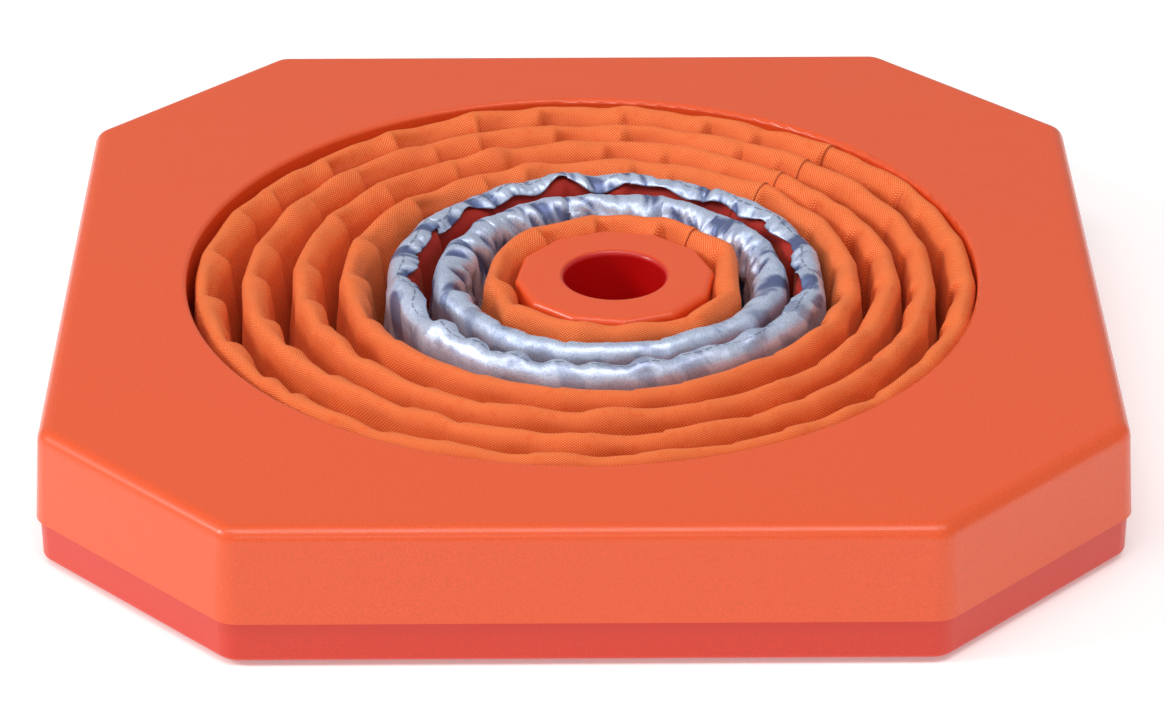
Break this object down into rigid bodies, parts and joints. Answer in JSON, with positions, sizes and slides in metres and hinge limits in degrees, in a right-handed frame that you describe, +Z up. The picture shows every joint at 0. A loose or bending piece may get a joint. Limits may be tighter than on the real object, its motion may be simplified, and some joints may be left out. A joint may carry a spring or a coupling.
{
  "type": "collapsible traffic cone",
  "caption": "Folding cloth traffic cone nested in a flat octagonal plastic base, with reflective bands and a cap with a round lamp socket.",
  "frame": {"origin": "on the ground, under the middle of the base", "axes": "+Z up, +Y towards the back, +X to the right; the folded cone leans towards +X"},
  "size_m": [0.285, 0.285, 0.0395],
  "materials": {
    "cover_plastic": "satin",
    "tray_plastic": "satin",
    "cap_plastic": "satin",
    "clamp_plastic": "matte",
    "cone_cloth": "woven",
    "reflective_tape": "glass bead",
    "hoop_wire": "drawn",
    "spring_steel": "drawn",
    "screw_steel": "zinc plated",
    "foot_rubber": "matte"
  },
  "bodies": {
    "base": {"base_cover": "cover_plastic", "base_tray": "tray_plastic", "base_screws": "screw_steel", "rubber_feet": "foot_rubber", "hem_clamp_ring": "clamp_plastic", "lift_spring": "spring_steel", "cloth_pleat_1": "cone_cloth"},
    "hoop_1": {"wire_hoop_1": "hoop_wire", "hoop_sleeve_1": "cone_cloth", "cloth_pleat_2": "cone_cloth"},
    "hoop_2": {"wire_hoop_2": "hoop_wire", "hoop_sleeve_2": "cone_cloth", "cloth_pleat_3": "cone_cloth"},
    "hoop_3": {"wire_hoop_3": "hoop_wire", "hoop_sleeve_3": "cone_cloth", "cloth_pleat_4": "cone_cloth"},
    "hoop_4": {"wire_hoop_4": "hoop_wire", "hoop_sleeve_4": "cone_cloth", "cloth_pleat_5": "cone_cloth", "reflective_band_lower": "reflective_tape"},
    "hoop_5": {"wire_hoop_5": "hoop_wire", "hoop_sleeve_5": "cone_cloth", "cloth_pleat_6": "cone_cloth", "reflective_band_upper": "reflective_tape"},
    "hoop_6": {"wire_hoop_6": "hoop_wire", "hoop_sleeve_6": "cone_cloth", "cloth_pleat_7": "cone_cloth"},
    "cap": {"top_cap": "cap_plastic", "cap_clamp_ring": "clamp_plastic", "cap_screws": "screw_steel", "cloth_top_hem": "cone_cloth"}
  },
  "joints": [
    {"name": "cone_lift", "type": "slide", "parent": "base", "child": "hoop_1", "axis": [-0.0375, 0, 0.9993], "range_m": [0, 0.06], "deforming": ["lift_spring"]},
    {"name": "hoop_2_lift", "type": "slide", "parent": "hoop_1", "child": "hoop_2", "axis": [-0.0225, 0, 0.9997], "range_m": [0, 0.06]},
    {"name": "hoop_3_lift", "type": "slide", "parent": "hoop_2", "child": "hoop_3", "axis": [-0.0225, 0, 0.9997], "range_m": [0, 0.06]},
    {"name": "hoop_4_lift", "type": "slide", "parent": "hoop_3", "child": "hoop_4", "axis": [-0.0225, 0, 0.9997], "range_m": [0, 0.06]},
    {"name": "hoop_5_lift", "type": "slide", "parent": "hoop_4", "child": "hoop_5", "axis": [-0.0225, 0, 0.9997], "range_m": [0, 0.06]},
    {"name": "hoop_6_lift", "type": "slide", "parent": "hoop_5", "child": "hoop_6", "axis": [-0.0225, 0, 0.9997], "range_m": [0, 0.06]},
    {"name": "cap_lift", "type": "slide", "parent": "hoop_6", "child": "cap", "axis": [0, 0, 1], "range_m": [0, 0.06]}
  ],
  "couplings": [
    {"joint": "hoop_2_lift", "follows": "cone_lift", "ratio": 1},
    {"joint": "hoop_3_lift", "follows": "cone_lift", "ratio": 1},
    {"joint": "hoop_4_lift", "follows": "cone_lift", "ratio": 1},
    {"joint": "hoop_5_lift", "follows": "cone_lift", "ratio": 1},
    {"joint": "hoop_6_lift", "follows": "cone_lift", "ratio": 1},
    {"joint": "cap_lift", "follows": "cone_lift", "ratio": 1}
  ]
}
